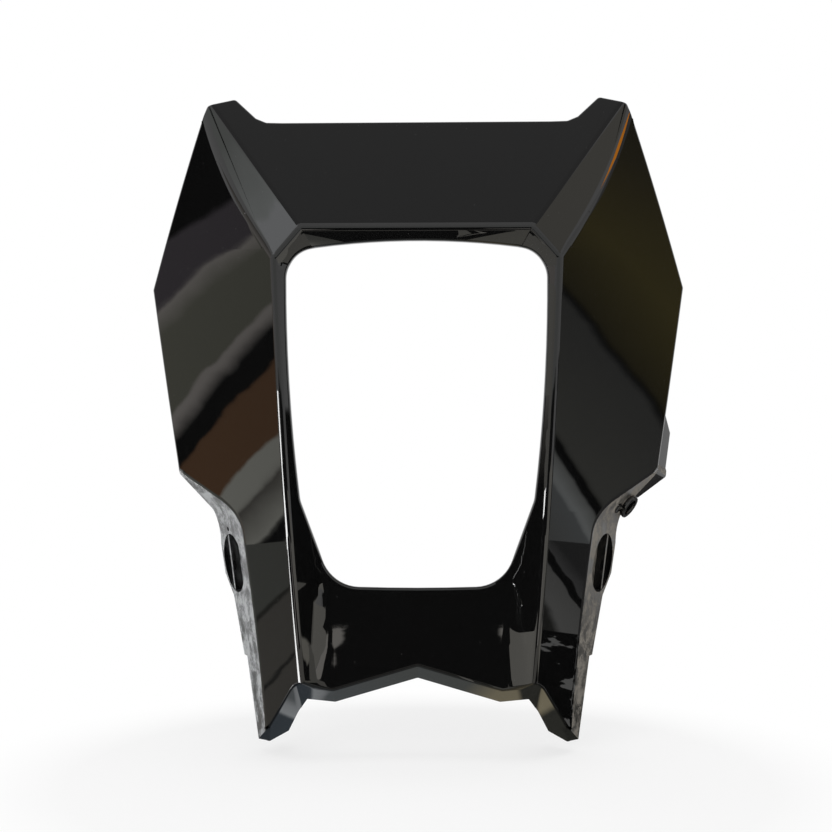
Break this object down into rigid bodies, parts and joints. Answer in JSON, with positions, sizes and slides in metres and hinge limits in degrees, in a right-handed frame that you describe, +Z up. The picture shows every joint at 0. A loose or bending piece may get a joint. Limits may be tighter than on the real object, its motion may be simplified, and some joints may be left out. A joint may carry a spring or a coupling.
{
  "type": "headlight cowl",
  "caption": "Moulded motorbike headlight cowl: a glossy angular surround with a lamp window, swept wings, horns and two screw-fixed legs.",
  "frame": {"origin": "middle of the lamp window, on the plane that the front of the frame stands on", "axes": "+X to the right as the camera sees it, -Y out of the front, towards the road ahead, +Z up"},
  "size_m": [0.2878, 0.0907, 0.3404],
  "materials": {
    "cowl": "gloss black paint on moulded plastic, speckled grey where the spray thins out on the side flanges"
  },
  "bodies": {
    "root": {"headlight_cowl": "cowl"}
  },
  "joints": []
}
